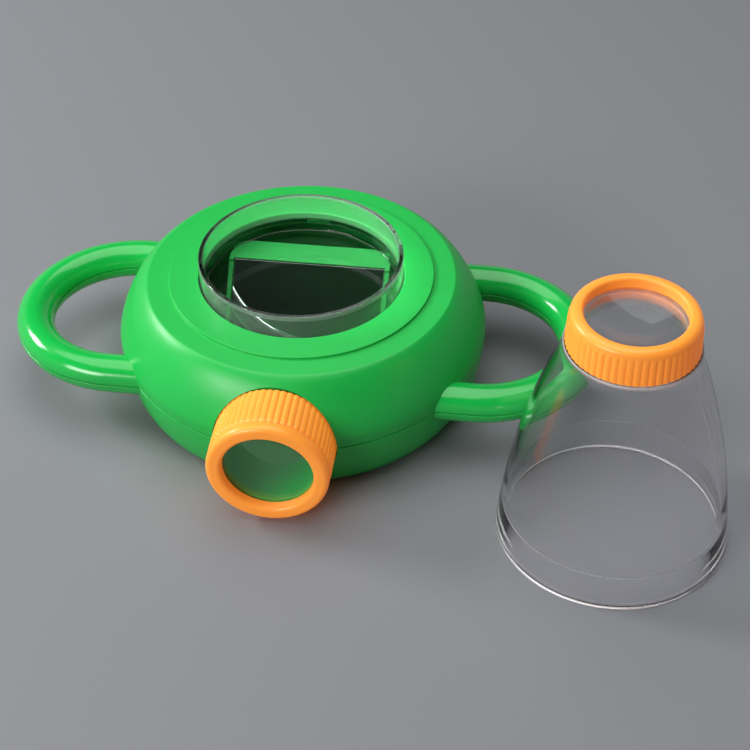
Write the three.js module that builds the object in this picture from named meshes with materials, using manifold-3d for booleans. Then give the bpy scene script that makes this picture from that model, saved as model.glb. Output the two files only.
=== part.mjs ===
// A child's two-way insect viewer: a hollow drum with two loop handles, a clear dish on top, a
// mirror at 45 degrees under it and a side eyepiece, with a clear magnifying cone standing beside it.
// Millimetres, +Z up. The origin is the centre of the drum's base. +X is the right handle's side and
// -Y the eyepiece's side.
import * as THREE from 'three';
import { mergeVertices } from 'three/addons/utils/BufferGeometryUtils.js';
import Module from 'manifold-3d';

// Drum
const drumRadius = 65;           // at the widest height
const drumWidestHeight = 25.7;
const drumSeamHeight = 21.7;     // the shells part here, level with the handles and the eyepiece
const drumBaseRadius = 55.5;     // flat underside
const drumLowerRound = 1.85;     // exponent of the lower side's rounding, 2 is an ellipse
const drumUpperRound = 1.39;     // exponent of the upper side's rounding
const shoulderInset = 11.4;      // from the widest radius to the edge of the flat shoulder
const plateauHeight = 46.6;
const plateauRadius = 46.3;
const plateauStep = 1;           // from the shoulder up to the plateau
const shellWall = 2.2;
const seamGap = 0.3;

// Clearances
const clearance = 0.3;           // between pieces that seat on each other
const dishOpeningGap = 0.4;      // around the dish in the drum's opening
const capPocketGap = 0.8;        // around the side cap in its round recess

// Handles
const handleRadius = 6.7;
const handleWall = 2;
const handleSpread = 33.2;       // from the middle to each leg
const handleReach = 34;          // the round part's depth
const handleTuck = 1.2;          // the round part starts this far inside the widest radius
const handleBossRadius = 3.4;

// Dish
const dishRadius = 35.6;
const dishWall = 1.5;
const dishRise = 8.2;            // the rim above the plateau
const dishDepth = 14.8;          // from the rim to the floor's upper face
const dishFloor = 1.5;
const dishFlangeReach = 3.9;
const dishFlangeThickness = 1.6;

// Snap tongues that hold the dish's flange
const tongueCount = 4;
const tongueWidth = 9;
const tongueThickness = 1.8;
const tongueBarb = 0.9;          // how far the barb reaches under the flange
const tongueBarbHeight = 1.9;

// Eyepiece barrel
const barrelBore = 15.2;         // radius of the bore, as every round size below
const barrelRadius = 17.2;       // at the thread's root
const barrelGroove = 16.5;       // clipped into the pocket's floor
const barrelFlange = 18.8;
const barrelFlangeThickness = 1.7;
const barrelCollar = 18.1;
const pocketDepth = 8;           // from the widest radius to the recess's floor

// Threads, the same for both caps
const threadLead = 3;
const threadHeight = 0.95;
const threadWidth = 1.1;
const threadRunOut = 40;         // degrees of taper at each end

// Screw caps
const capRibs = 56;
const capRibDepth = 0.6;
const capBore = 18.55;
const capLipDepth = 3.5;         // from the front to the lens seat
const sideCap = {
  radius: 20.6,                  // over the ribs
  length: 19.4,
  opening: 15.3,
  bezelRadius: 20.5,
  bezelLength: 4.4,              // the smooth part in front of the ribs
  bezelRounding: 1.6,
};
const topCap = {
  radius: 20.8,
  length: 12,
  opening: 15.9,
  bezelRadius: 19.9,
  bezelLength: 3.2,
  bezelRounding: 2.1,
};
const sideThreadTurns = 2;
const topThreadTurns = 1.5;
const capThreadTurns = 1;

// Lenses
const lensRadius = 17.2;
const lensEdge = 1.5;
const lensBulge = 2;             // rise of each face at the middle

// Mirror and its frame
const mirrorWidth = 54.4;
const mirrorHeadroom = 1.1;      // from its upper edge to the dish's floor
const mirrorThickness = 1.6;
const padThickness = 0.8;
const padMargin = 3;
const frameRim = 1.6;
const frameRimRise = 0.6;        // above the mirror's face
const frameFloor = 1.8;
const frameFloorGap = 0.6;       // from its lowest edge to the drum's floor
const ledgeBack = 26.1;          // the ledge's rear edge, from the drum's axis
const ledgeThickness = 1.8;
const frameLegSpread = 18;
const frameLegThickness = 2.4;
const frameFootReach = 9;        // behind the ledge's rear edge
const frameFootWidth = 9;
const frameFootHeight = 6.3;     // of its underside above the base
const frameFootThickness = 1.8;
const frameBossRadius = 3.6;

// Cone
const coneBaseRadius = 38.5;
const coneBaseWall = 1.9;
const coneSkirtHeight = 12.7;
const coneSkirtTaper = 1;        // loss of radius up the skirt
const coneSkirtStep = 0.7;
const coneWall = 1.6;
const coneBulge = 2.1;           // swell of the wall midway
const coneShoulderRadius = 21.4;
const coneShoulderHeight = 75.6;
const coneShoulderRim = 2.4;
const coneAside = 8.25;          // from the handle's outermost point to the cone's axis, along X
const coneTuck = 15.5;           // how far its base reaches in front of the handle's leg

// Screws
const bodyScrewInset = 14.1;     // from the widest radius
const bodyScrewAngle = 45;
const bodyBossRadius = 3.8;
const bodyWellHeight = 12;
const bodyScrew = { radius: 1.5, length: 20, headRadius: 2.9, headHeight: 1.9 };
const handleWellHeight = 3.1;
const handleScrew = { radius: 1.2, length: 8, headRadius: 2.2, headHeight: 1.5 };
const mirrorScrew = { radius: 1.3, length: 6, headRadius: 2.5, headHeight: 1.6 };
const screwRecessWidth = 0.8;

// Fineness of the round shapes
const drumSides = 44;
const drumSteps = 6;               // along each rounding of the drum
const cavitySteps = 4;
const roundSides = 32;
const threadSides = 24;
const screwSides = 8;
const handleSides = 16;
const handleChannelSides = 8;
const handleSteps = 16;

// Heights and distances that follow from the sizes above
const plateauCeiling = plateauHeight - shellWall;
const dishFlangeTop = plateauCeiling - clearance;
const dishFloorUnderside = plateauHeight + dishRise - dishDepth - dishFloor;
const mirrorTop = (dishFloorUnderside - mirrorHeadroom - drumSeamHeight) * Math.SQRT2;
const frameDepth = mirrorThickness + padThickness + 2 * clearance + frameFloor;
const frameDrop = (drumSeamHeight - shellWall - frameFloorGap) * Math.SQRT2 - frameDepth;
const mirrorLength = mirrorTop + frameDrop - frameRim - clearance;
const pocketFloor = drumRadius - pocketDepth;
const pocketRadius = sideCap.radius + capPocketGap;
const sideCapRear = pocketFloor + 2 * clearance;
const topCapRear = coneShoulderHeight + coneShoulderRim + clearance;
const sideLensSeat = sideCapRear + sideCap.length - capLipDepth;
const topLensSeat = topCapRear + topCap.length - capLipDepth;
const sideBarrelFront = sideLensSeat - lensEdge - 2 * clearance;
const coneNeckTop = topLensSeat - lensEdge - 2 * clearance;
const sideThreadLow = sideBarrelFront - threadWidth - threadLead * sideThreadTurns;
const topThreadLow = coneNeckTop - threadWidth - threadLead * topThreadTurns;
const threadCrest = barrelRadius + threadHeight;
const capThreadCrest = capBore - threadHeight;
const handleEnd = drumRadius - handleTuck + handleReach;
const coneX = handleEnd + handleRadius + coneAside;
const coneY = coneTuck - handleSpread - handleRadius - coneBaseRadius;

const greenShell = { color: 0x2ecc5c, roughness: 0.45, metalness: 0 };
const greenHolder = { color: 0x2fc45a, roughness: 0.5, metalness: 0 };
const orangeCap = { color: 0xff9f3a, roughness: 0.35, metalness: 0 };
const clearPlastic = { color: 0xe6eef0, roughness: 0.08, metalness: 0, transparent: true, opacity: 0.3 };
const silveredPlate = { color: 0xc8ced0, roughness: 0.05, metalness: 1 };
const greyFoam = { color: 0x6f7478, roughness: 0.95, metalness: 0 };
const zincPlate = { color: 0xb9bcbf, roughness: 0.3, metalness: 1 };

const wasm = await Module();
wasm.setup();

// A closed three.js geometry as a solid that can be joined and cut.
function solidFrom(geometry) {
  geometry.deleteAttribute('normal');
  geometry.deleteAttribute('uv');
  const merged = mergeVertices(geometry, 1e-4);
  const corners = merged.index.array;
  const triVerts = [];
  for (let i = 0; i < corners.length; i += 3) {
    const [a, b, c] = corners.slice(i, i + 3);
    if (a !== b && b !== c && c !== a) triVerts.push(a, b, c);
  }
  return new wasm.Manifold(new wasm.Mesh({
    numProp: 3,
    vertProperties: merged.getAttribute('position').array,
    triVerts: Uint32Array.from(triVerts),
  }));
}

function geometryFrom(solid) {
  const mesh = solid.getMesh();
  const geometry = new THREE.BufferGeometry();
  geometry.setAttribute('position', new THREE.BufferAttribute(mesh.vertProperties, 3));
  geometry.setIndex(new THREE.BufferAttribute(mesh.triVerts, 1));
  geometry.computeVertexNormals();
  return geometry;
}

function piece(name, solid, look) {
  const mesh = new THREE.Mesh(geometryFrom(solid), new THREE.MeshStandardMaterial(look));
  mesh.name = name;
  return mesh;
}

// A profile of [radius, height] points turned about Z. It starts and ends on the axis, or closes on
// itself, with the material on the left as it is followed.
function turned(profile, sides) {
  const points = profile.map(([radius, height]) => new THREE.Vector2(radius, height));
  return solidFrom(new THREE.LatheGeometry(points, sides).rotateX(Math.PI / 2));
}

function rod(radius, low, high, sides = roundSides) {
  return turned([[0, low], [radius, low], [radius, high], [0, high]], sides);
}

function box(x, y, z) {
  const [low, high] = [new THREE.Vector3(x[0], y[0], z[0]), new THREE.Vector3(x[1], y[1], z[1])];
  const size = new THREE.Vector3().subVectors(high, low);
  const middle = new THREE.Vector3().addVectors(low, high).multiplyScalar(0.5);
  return solidFrom(new THREE.BoxGeometry(size.x, size.y, size.z).translate(middle.x, middle.y, middle.z));
}

// Turns a solid made along +Z to lie along -Y at the seam's height.
function alongEyepiece(solid) {
  return solid.rotate([90, 0, 0]).translate([0, 0, drumSeamHeight]);
}

// One quarter of a rounded outline, from angle 0 on the widest radius to 90 degrees on the flat.
function quarterRound(flatRadius, wideRadius, wideHeight, rise, exponent, steps) {
  const points = [];
  for (let i = 0; i <= steps; i += 1) {
    const angle = (i / steps) * (Math.PI / 2);
    points.push([
      flatRadius + (wideRadius - flatRadius) * Math.max(Math.cos(angle), 0) ** (2 / exponent),
      wideHeight + rise * Math.sin(angle) ** (2 / exponent),
    ]);
  }
  points[steps][0] = flatRadius;
  return points;
}

// The drum's outline, or its cavity's outline when it is inset by the wall.
function drumOutline(inset, steps) {
  const shoulder = plateauHeight - plateauStep - inset;
  const wide = drumRadius - inset;
  const lower = quarterRound(drumBaseRadius, wide, drumWidestHeight, inset - drumWidestHeight,
    drumLowerRound, steps).reverse();
  const upper = quarterRound(drumRadius - shoulderInset, wide, drumWidestHeight,
    shoulder - drumWidestHeight, drumUpperRound, steps);
  return [
    [0, inset], ...lower, ...upper.slice(1),
    [plateauRadius - inset, shoulder], [plateauRadius - inset, plateauHeight - inset],
    [0, plateauHeight - inset],
  ];
}

// The middle line of one loop handle: two straight legs joined by half an ellipse.
class HandleLoop extends THREE.Curve {
  constructor(side) {
    super();
    this.side = side;
  }

  getPoint(t) {
    const legLength = handleReach;
    const bendLength = Math.PI * (handleSpread + handleReach) / 2;
    const along = (t - 0.5) * (2 * legLength + bendLength);
    const bendStart = drumRadius - handleTuck;
    const straight = Math.abs(along) - bendLength / 2;
    const angle = THREE.MathUtils.clamp(along / bendLength, -0.5, 0.5) * Math.PI;
    const x = straight > 0 ? bendStart - straight : bendStart + handleReach * Math.cos(angle);
    return new THREE.Vector3(this.side * x, handleSpread * Math.sin(angle), drumSeamHeight);
  }
}

function handleTube(side, radius, sides) {
  const section = new THREE.Shape().absarc(0, 0, radius, 0, 2 * Math.PI);
  return solidFrom(new THREE.ExtrudeGeometry(section, {
    extrudePath: new HandleLoop(side), steps: handleSteps, curveSegments: sides / 2,
  }));
}

// A helical ridge on a wall of the given radius, rising to the crest radius. It starts at angle 0.
function threadRidge(wallRadius, crestRadius, low, turns) {
  const into = Math.sign(wallRadius - crestRadius) * 0.4;
  const steps = Math.round(turns * threadSides);
  const corners = [];
  for (let i = 0; i <= steps; i += 1) {
    const angle = (i / threadSides) * 2 * Math.PI;
    const fromEnd = Math.min(i, steps - i) * (360 / threadSides);
    const share = Math.min(1, 0.1 + fromEnd / threadRunOut);
    const crest = wallRadius + (crestRadius - wallRadius) * share;
    const height = low + threadLead * (i / threadSides);
    const section = [
      [wallRadius + into, -threadWidth / 2], [crest, -threadWidth / 4],
      [crest, threadWidth / 4], [wallRadius + into, threadWidth / 2],
    ];
    for (const [radius, rise] of section) {
      corners.push(radius * Math.cos(angle), radius * Math.sin(angle), height + rise);
    }
  }
  const outward = crestRadius > wallRadius;
  const faces = [];
  const quad = (a, b, c, d) => faces.push(...(outward ? [a, b, c, a, c, d] : [a, c, b, a, d, c]));
  for (let i = 0; i < steps; i += 1) {
    for (let side = 0; side < 4; side += 1) {
      const [a, b] = [4 * i + side, 4 * i + (side + 1) % 4];
      quad(a, a + 4, b + 4, b);
    }
  }
  quad(0, 1, 2, 3);
  quad(4 * steps + 3, 4 * steps + 2, 4 * steps + 1, 4 * steps);
  const geometry = new THREE.BufferGeometry();
  geometry.setAttribute('position', new THREE.Float32BufferAttribute(corners, 3));
  geometry.setIndex(faces);
  return solidFrom(geometry);
}

// The places of the four body screws, as [x, y].
function bodyScrewPlaces() {
  const circle = drumRadius - bodyScrewInset;
  return [1, 3, 5, 7].map((quarter) => {
    const angle = THREE.MathUtils.degToRad(bodyScrewAngle * quarter);
    return [circle * Math.cos(angle), circle * Math.sin(angle)];
  });
}

const mirrorScrewPlaces = [-1, 1].map((side) => [
  side * frameLegSpread, ledgeBack + frameFootReach - frameFootWidth / 2,
]);

// The whole drum with both handles as one hollow casing, before it is parted at the seam.
function casing() {
  const sleeve = rod(pocketRadius + shellWall, pocketFloor - shellWall, 2 * drumRadius);
  const pocket = rod(pocketRadius, pocketFloor, 2 * drumRadius);
  const barrelHole = rod(barrelGroove + clearance, pocketFloor - 2 * shellWall, 2 * drumRadius);
  const opening = rod(dishRadius + dishOpeningGap, drumWidestHeight, 2 * plateauHeight, drumSides);
  let walls = turned(drumOutline(0, drumSteps), drumSides);
  for (const side of [-1, 1]) walls = walls.add(handleTube(side, handleRadius, handleSides));
  const hollow = turned(drumOutline(shellWall, cavitySteps), drumSides);
  walls = walls.subtract(hollow.subtract(alongEyepiece(sleeve)));
  walls = walls.subtract(alongEyepiece(pocket)).subtract(alongEyepiece(barrelHole));
  for (const side of [-1, 1]) {
    walls = walls.subtract(handleTube(side, handleRadius - handleWall, handleChannelSides));
  }
  return walls.subtract(opening);
}

// A snap tongue under the plateau, at angle 0. Its barb reaches under the dish's flange.
function tongue() {
  const inner = dishRadius + dishFlangeReach + clearance;
  const barbTop = dishFlangeTop - dishFlangeThickness - clearance;
  const outline = new THREE.Shape([
    new THREE.Vector2(inner, plateauCeiling + shellWall / 2),
    new THREE.Vector2(inner, barbTop),
    new THREE.Vector2(inner - clearance - tongueBarb, barbTop),
    new THREE.Vector2(inner - clearance - tongueBarb, barbTop - tongueBarbHeight / 3),
    new THREE.Vector2(inner, barbTop - tongueBarbHeight),
    new THREE.Vector2(inner + tongueThickness, barbTop - tongueBarbHeight),
    new THREE.Vector2(inner + tongueThickness, plateauCeiling + shellWall / 2),
  ]);
  const bar = new THREE.ExtrudeGeometry(outline, { depth: tongueWidth, bevelEnabled: false });
  return solidFrom(bar.translate(0, 0, -tongueWidth / 2).rotateX(Math.PI / 2));
}

function upperShell(walls) {
  const low = drumSeamHeight + seamGap / 2;
  const wide = 2 * handleEnd;
  const bodyBossTop = plateauHeight - plateauStep - shellWall / 2;
  const handleTop = drumSeamHeight + handleRadius - handleWall / 2;
  let shell = walls.intersect(box([-wide, wide], [-wide, wide], [low, 2 * plateauHeight]));
  for (let i = 0; i < tongueCount; i += 1) {
    shell = shell.add(tongue().rotate([0, 0, (i * 360) / tongueCount]));
  }
  for (const [x, y] of bodyScrewPlaces()) {
    const boss = rod(bodyBossRadius, low, bodyBossTop, screwSides).translate([x, y, 0]);
    const depth = bodyWellHeight + bodyScrew.length;
    const hole = rod(bodyScrew.radius + clearance, 0, depth, screwSides).translate([x, y, 0]);
    shell = shell.add(boss).subtract(hole);
  }
  for (const side of [-1, 1]) {
    const boss = rod(handleBossRadius, low, handleTop, screwSides).translate([side * handleEnd, 0, 0]);
    const depth = drumSeamHeight - handleRadius + handleWellHeight + handleScrew.length;
    const hole = rod(handleScrew.radius + clearance, 0, depth, screwSides);
    shell = shell.add(boss).subtract(hole.translate([side * handleEnd, 0, 0]));
  }
  return piece('upper_shell', shell, greenShell);
}

function lowerShell(walls) {
  const top = drumSeamHeight - seamGap / 2;
  const wide = 2 * handleEnd;
  const handleLow = drumSeamHeight - handleRadius;
  let shell = walls.intersect(box([-wide, wide], [-wide, wide], [-plateauHeight, top]));
  for (const [x, y] of bodyScrewPlaces()) {
    const post = rod(bodyBossRadius + shellWall / 2, shellWall / 2, top, screwSides);
    const well = rod(bodyScrew.headRadius + clearance, -shellWall, bodyWellHeight, screwSides);
    const hole = rod(bodyScrew.radius + clearance, 0, plateauHeight, screwSides);
    shell = shell.add(post.translate([x, y, 0]));
    shell = shell.subtract(well.add(hole).translate([x, y, 0]));
  }
  for (const side of [-1, 1]) {
    const post = rod(handleBossRadius, handleLow + handleWall / 2, top, screwSides);
    const wellTop = handleLow + handleWellHeight;
    const well = rod(handleScrew.headRadius + clearance, 0, wellTop, screwSides);
    const hole = rod(handleScrew.radius + clearance, 0, plateauHeight, screwSides);
    shell = shell.add(post.translate([side * handleEnd, 0, 0]));
    shell = shell.subtract(well.add(hole).translate([side * handleEnd, 0, 0]));
  }
  for (const [x, y] of mirrorScrewPlaces) {
    const boss = rod(frameBossRadius, shellWall / 2, frameFootHeight - clearance, screwSides);
    const hole = rod(mirrorScrew.radius + clearance, shellWall / 2, plateauHeight, screwSides);
    shell = shell.add(boss.translate([x, y, 0])).subtract(hole.translate([x, y, 0]));
  }
  return piece('lower_shell', shell, greenShell);
}

function viewingDish() {
  const rim = plateauHeight + dishRise;
  const inside = dishRadius - dishWall;
  const flange = dishRadius + dishFlangeReach;
  const flangeLow = dishFlangeTop - dishFlangeThickness;
  const profile = [
    [0, dishFloorUnderside], [dishRadius, dishFloorUnderside], [dishRadius, flangeLow],
    [flange, flangeLow], [flange, dishFlangeTop], [dishRadius, dishFlangeTop], [dishRadius, rim],
    [inside, rim], [inside, dishFloorUnderside + dishFloor], [0, dishFloorUnderside + dishFloor],
  ];
  return piece('viewing_dish', turned(profile, drumSides), clearPlastic);
}

// Places a solid made on the mirror's slope: local Y runs up the slope and local Z out of its face.
function onSlope(solid) {
  return solid.rotate([45, 0, 0]).translate([0, 0, drumSeamHeight]);
}

function mirrorFrame() {
  const half = mirrorWidth / 2 + clearance;
  const wide = half + frameRim;
  const slotLow = mirrorTop - mirrorLength - clearance;
  const slotHigh = mirrorTop + clearance;
  const ledgeTop = dishFloorUnderside - clearance;
  const tray = box([-wide, wide], [slotLow - frameRim, slotHigh + frameRim],
    [-frameDepth, frameRimRise]);
  const slot = box([-half, half], [slotLow, slotHigh], [frameFloor - frameDepth, plateauHeight]);
  const underDish = box([-wide, wide], [-drumRadius, drumRadius], [0, ledgeTop]);
  const ledgeFront = slotHigh / Math.SQRT2 - frameRim;
  const ledge = box([-wide, wide], [ledgeFront, ledgeBack], [ledgeTop - ledgeThickness, ledgeTop]);
  let frame = onSlope(tray).add(ledge).subtract(onSlope(slot)).intersect(underDish);
  for (const [x, y] of mirrorScrewPlaces) {
    const leg = box([x - frameLegThickness / 2, x + frameLegThickness / 2],
      [ledgeFront + 2 * frameRim, ledgeBack], [frameFootHeight, ledgeTop - ledgeThickness / 2]);
    const foot = box([x - frameFootWidth / 2, x + frameFootWidth / 2],
      [ledgeBack - frameLegThickness, ledgeBack + frameFootReach],
      [frameFootHeight, frameFootHeight + frameFootThickness]);
    const hole = rod(mirrorScrew.radius + clearance, 0, drumSeamHeight, screwSides);
    frame = frame.add(leg).add(foot).subtract(hole.translate([x, y, 0]));
  }
  return piece('mirror_frame', frame, greenHolder);
}

function mirrorPlate() {
  const half = mirrorWidth / 2;
  const plate = box([-half, half], [mirrorTop - mirrorLength, mirrorTop], [-mirrorThickness, 0]);
  return piece('mirror_plate', onSlope(plate), silveredPlate);
}

function mirrorPad() {
  const half = mirrorWidth / 2 - padMargin;
  const top = -mirrorThickness - clearance;
  const sheet = box([-half, half], [mirrorTop - mirrorLength + padMargin, mirrorTop - padMargin],
    [top - padThickness, top]);
  return piece('mirror_pad', onSlope(sheet), greyFoam);
}

function eyepieceBarrel() {
  const floorBack = pocketFloor - shellWall - clearance;
  const floorFront = pocketFloor + clearance;
  const rear = floorBack - barrelFlangeThickness;
  const collarFront = floorFront + barrelFlangeThickness;
  const profile = [
    [barrelBore, rear], [barrelFlange, rear], [barrelFlange, floorBack], [barrelGroove, floorBack],
    [barrelGroove, floorFront], [barrelCollar, floorFront], [barrelCollar, collarFront],
    [barrelRadius, collarFront], [barrelRadius, sideBarrelFront], [barrelBore, sideBarrelFront],
    [barrelBore, rear],
  ];
  const ridge = threadRidge(barrelRadius, threadCrest, sideThreadLow, sideThreadTurns);
  return piece('eyepiece_barrel', turned(profile, threadSides).add(ridge), greenHolder);
}

// A lens whose rim lies just behind the seat.
function lens(name, seat) {
  const low = seat - clearance - lensEdge;
  const clear = lensRadius - lensEdge;
  const faceSteps = 4;
  const ball = (clear ** 2 + lensBulge ** 2) / (2 * lensBulge);
  const rise = (radius) => Math.sqrt(ball ** 2 - radius ** 2) - (ball - lensBulge);
  const under = [];
  for (let i = 0; i <= faceSteps; i += 1) {
    const radius = (clear * i) / faceSteps;
    under.push([radius, low - rise(radius)]);
  }
  const over = under.map(([radius, height]) => [radius, 2 * low + lensEdge - height]).reverse();
  const rim = [[lensRadius, low], [lensRadius, low + lensEdge]];
  return piece(name, turned([...under, ...rim, ...over], threadSides), clearPlastic);
}

// The ribbed grip of a cap: rounded ribs with a narrow groove between neighbours.
function ribbedGrip(crest, low, high) {
  const pitch = (2 * Math.PI) / capRibs;
  const corners = [];
  for (let i = 0; i < capRibs; i += 1) {
    for (const [share, depth] of [[0, capRibDepth], [0.3, 0], [0.7, 0]]) {
      const angle = (i + share) * pitch;
      const radius = crest - depth;
      corners.push(new THREE.Vector2(radius * Math.cos(angle), radius * Math.sin(angle)));
    }
  }
  const outline = new THREE.Shape(corners);
  const grip = new THREE.ExtrudeGeometry(outline, { depth: high - low, bevelEnabled: false });
  return solidFrom(grip.translate(0, 0, low));
}

// A screw cap with a ribbed grip, a smooth rounded bezel and an inner thread, which runs midway
// between the turns of the thread that it grips.
function screwCap(name, size, rear, seat, gripped) {
  const { radius, opening, bezelRadius, bezelRounding } = size;
  const front = rear + size.length;
  const gripTop = front - size.bezelLength;
  const rimBack = seat - lensEdge - 2 * clearance;
  const bezelBody = turned([
    [0, gripTop - clearance], [bezelRadius - clearance, gripTop - clearance],
    [bezelRadius, gripTop], [bezelRadius, front - bezelRounding],
    [bezelRadius - bezelRounding * 0.3, front - bezelRounding * 0.3],
    [bezelRadius - bezelRounding, front], [0, front],
  ], roundSides);
  const lipBevel = (bezelRadius - bezelRounding - opening) / 2;
  const mouth = turned([
    [0, seat - clearance], [opening, seat - clearance], [opening, front - lipBevel],
    [opening + lipBevel, front], [opening + lipBevel, front + clearance], [0, front + clearance],
  ], roundSides);
  const bore = rod(capBore, rear - clearance, rimBack + clearance / 2, threadSides);
  const lensBore = rod(lensRadius + clearance, rear, seat, threadSides);
  const ridge = threadRidge(capBore, capThreadCrest, gripped + threadLead / 2, capThreadTurns);
  const body = ribbedGrip(radius, rear, gripTop).add(bezelBody);
  return piece(name, body.subtract(mouth).subtract(bore).subtract(lensBore).add(ridge), orangeCap);
}

function magnifierCone() {
  const wallSteps = 6;
  const skirtTop = coneBaseRadius - coneSkirtTaper;
  const wallFoot = skirtTop - coneSkirtStep;
  const shoulderTop = coneShoulderHeight + coneShoulderRim;
  const outer = [];
  for (let i = 0; i <= wallSteps; i += 1) {
    const t = i / wallSteps;
    const swell = 4 * coneBulge * t * (1 - t);
    outer.push([
      wallFoot + (coneShoulderRadius - wallFoot) * t + swell,
      coneSkirtHeight + (coneShoulderHeight - coneSkirtHeight) * t,
    ]);
  }
  const inner = outer.map(([radius, height]) => [radius - coneWall, height]).reverse();
  const profile = [
    [coneBaseRadius - coneBaseWall, 0], [coneBaseRadius, 0], [skirtTop, coneSkirtHeight - coneSkirtStep],
    ...outer, [coneShoulderRadius, shoulderTop], [barrelRadius, shoulderTop], [barrelRadius, coneNeckTop],
    [barrelBore, coneNeckTop], [barrelBore, shoulderTop - coneWall],
    [coneShoulderRadius - coneWall, shoulderTop - coneWall], ...inner,
    [skirtTop - coneBaseWall + clearance, coneSkirtHeight - coneSkirtStep],
    [coneBaseRadius - coneBaseWall, 0],
  ];
  const ridge = threadRidge(barrelRadius, threadCrest, topThreadLow, topThreadTurns);
  return piece('magnifier_cone', turned(profile, drumSides).add(ridge), clearPlastic);
}

// A screw that points up, with the underside of its head at the origin.
function screw(name, size) {
  const { radius, length, headRadius, headHeight } = size;
  const profile = [
    [0, -headHeight], [headRadius * 0.6, -headHeight], [headRadius, -headHeight * 0.4], [headRadius, 0],
    [radius, 0], [radius, length - 1.5 * radius], [0, length],
  ];
  const half = screwRecessWidth / 2;
  const arm = headRadius * 0.55;
  const deep = [-2 * headHeight, -headHeight * 0.45];
  const cross = box([-arm, arm], [-half, half], deep).add(box([-half, half], [-arm, arm], deep));
  return piece(name, turned(profile, screwSides).subtract(cross), zincPlate);
}

const viewer = new THREE.Group();
const walls = casing();
viewer.add(upperShell(walls), lowerShell(walls), viewingDish());
viewer.add(mirrorFrame(), mirrorPlate(), mirrorPad());

const eyepiece = new THREE.Group();
eyepiece.position.z = drumSeamHeight;
eyepiece.rotation.x = Math.PI / 2;
eyepiece.add(
  eyepieceBarrel(),
  lens('side_lens', sideLensSeat),
  screwCap('side_lens_cap', sideCap, sideCapRear, sideLensSeat, sideThreadLow),
);
viewer.add(eyepiece);

const cone = new THREE.Group();
cone.position.set(coneX, coneY, 0);
cone.add(
  magnifierCone(),
  lens('top_lens', topLensSeat),
  screwCap('top_lens_cap', topCap, topCapRear, topLensSeat, topThreadLow),
);
viewer.add(cone);

bodyScrewPlaces().forEach(([x, y], i) => {
  const bodyScrewPiece = screw(`body_screw_${i + 1}`, bodyScrew);
  bodyScrewPiece.position.set(x, y, bodyWellHeight - clearance);
  viewer.add(bodyScrewPiece);
});

['left', 'right'].forEach((sideName, i) => {
  const side = 2 * i - 1;
  const handlePiece = screw(`handle_screw_${sideName}`, handleScrew);
  const seat = drumSeamHeight - handleRadius + handleWellHeight - clearance;
  handlePiece.position.set(side * handleEnd, 0, seat);
  const [x, y] = mirrorScrewPlaces[i];
  const mirrorPiece = screw(`mirror_screw_${sideName}`, mirrorScrew);
  mirrorPiece.position.set(x, y, frameFootHeight + frameFootThickness + clearance);
  mirrorPiece.rotation.x = Math.PI;
  viewer.add(handlePiece, mirrorPiece);
});

export default viewer;
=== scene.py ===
import itertools
import math

import bmesh
import bpy
from mathutils import Euler, Matrix, Vector, noise


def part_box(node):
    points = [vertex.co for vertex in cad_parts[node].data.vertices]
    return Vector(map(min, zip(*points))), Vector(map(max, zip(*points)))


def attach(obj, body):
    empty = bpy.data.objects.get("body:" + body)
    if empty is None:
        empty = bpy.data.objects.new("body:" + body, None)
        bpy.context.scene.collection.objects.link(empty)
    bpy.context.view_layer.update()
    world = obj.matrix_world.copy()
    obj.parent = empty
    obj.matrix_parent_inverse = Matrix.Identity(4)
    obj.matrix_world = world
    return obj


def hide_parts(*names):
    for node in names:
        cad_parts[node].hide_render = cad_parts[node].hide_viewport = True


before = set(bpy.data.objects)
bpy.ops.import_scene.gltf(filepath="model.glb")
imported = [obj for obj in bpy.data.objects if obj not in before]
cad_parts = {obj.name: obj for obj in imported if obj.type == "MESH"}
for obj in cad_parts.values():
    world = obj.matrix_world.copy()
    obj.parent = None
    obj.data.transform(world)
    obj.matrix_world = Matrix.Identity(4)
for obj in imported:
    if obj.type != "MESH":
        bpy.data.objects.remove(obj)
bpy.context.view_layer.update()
mm = 0.001  # the pieces' own sizes below are in millimetres
print("frame loaded,", len(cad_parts), "nodes")


def cadSpan(node):
    low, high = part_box(node)
    return low / mm, high / mm


def placed(name, data):
    made = bpy.data.objects.new(name, data)
    bpy.context.scene.collection.objects.link(made)
    return made


# Camera at the photograph's place, in metres and radians
cameraValues = {
    "place": (0.086125, -0.458524, 0.404238),
    "yaw": -0.13114,
    "pitch": 0.716531,  # downwards
    "roll": -0.005537,
    "lens": 80.5,  # this and the sensor in millimetres
    "sensor": 36.0,
}


def makeCamera(v):
    data = bpy.data.cameras.new("photoCamera")
    data.lens = v["lens"]
    data.sensor_width = v["sensor"]
    camera = placed("photoCamera", data)
    turn = Euler((math.pi / 2 - v["pitch"], 0, -v["yaw"])).to_matrix().to_4x4()
    camera.matrix_world = Matrix.Translation(v["place"]) @ turn @ Matrix.Rotation(v["roll"], 4, "Z")
    bpy.context.scene.camera = camera


makeCamera(cameraValues)


# Shader maths

class Link:
    # one output socket, so that materials can be written as sums
    def __init__(self, finish, socket):
        self.finish, self.socket = finish, socket

    def maths(self, operation, first, second):
        return self.finish.node("ShaderNodeMath", {"operation": operation}, {0: first, 1: second})

    def __add__(self, other):
        return self.maths("ADD", self, other)

    def __radd__(self, other):
        return self.maths("ADD", other, self)

    def __sub__(self, other):
        return self.maths("SUBTRACT", self, other)

    def __rsub__(self, other):
        return self.maths("SUBTRACT", other, self)

    def __mul__(self, other):
        return self.maths("MULTIPLY", self, other)

    def __rmul__(self, other):
        return self.maths("MULTIPLY", other, self)

    def other(self, name):
        return Link(self.finish, self.socket.node.outputs[name])


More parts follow.
